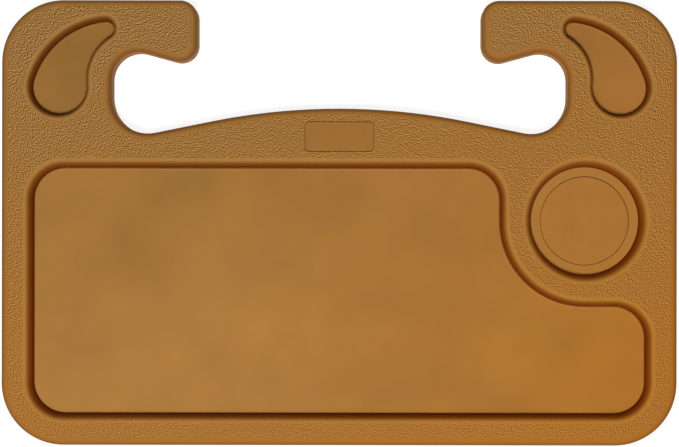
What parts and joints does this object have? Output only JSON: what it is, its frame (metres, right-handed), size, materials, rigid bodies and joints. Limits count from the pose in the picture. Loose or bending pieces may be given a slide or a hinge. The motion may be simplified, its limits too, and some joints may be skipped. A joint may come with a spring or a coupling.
{
  "type": "steering wheel tray",
  "caption": "Flat tray with two hooks for a steering wheel's rim, a bent main recess, a round cup well and drop-shaped pockets.",
  "frame": {"origin": "middle of the bounding box on the flat back face that the tray rests on", "axes": "+X along the tray's width, towards the cup well; +Y along its length, towards the hooks; +Z out of the face"},
  "size_m": [0.425, 0.28, 0.02],
  "materials": {
    "front_shell": "pebble grained face, smooth satin recesses",
    "back_shell": "fine satin",
    "badge_plate": "smooth satin",
    "mat": "smooth matt",
    "coaster": "smooth matt",
    "screw": "zinc plated"
  },
  "bodies": {
    "tray": {"front_shell": "front_shell", "back_shell": "back_shell", "badge_plate": "badge_plate", "floor_screw_1": "screw", "floor_screw_2": "screw", "floor_screw_3": "screw", "floor_screw_4": "screw", "floor_screw_5": "screw", "floor_screw_6": "screw", "left_pocket_screw": "screw", "right_pocket_screw": "screw"},
    "tray_mat_body": {"tray_mat": "mat"},
    "cup_coaster_body": {"cup_coaster": "coaster"},
    "left_pocket_mat_body": {"left_pocket_mat": "mat"},
    "right_pocket_mat_body": {"right_pocket_mat": "mat"}
  },
  "joints": [
    {"name": "tray_mat_lift", "type": "slide", "parent": "tray", "child": "tray_mat_body", "axis": [0, 0, 1], "range_m": [0, 0.04]},
    {"name": "cup_coaster_lift", "type": "slide", "parent": "tray", "child": "cup_coaster_body", "axis": [0, 0, 1], "range_m": [0, 0.04]},
    {"name": "left_pocket_mat_lift", "type": "slide", "parent": "tray", "child": "left_pocket_mat_body", "axis": [0, 0, 1], "range_m": [0, 0.04]},
    {"name": "right_pocket_mat_lift", "type": "slide", "parent": "tray", "child": "right_pocket_mat_body", "axis": [0, 0, 1], "range_m": [0, 0.04]}
  ]
}
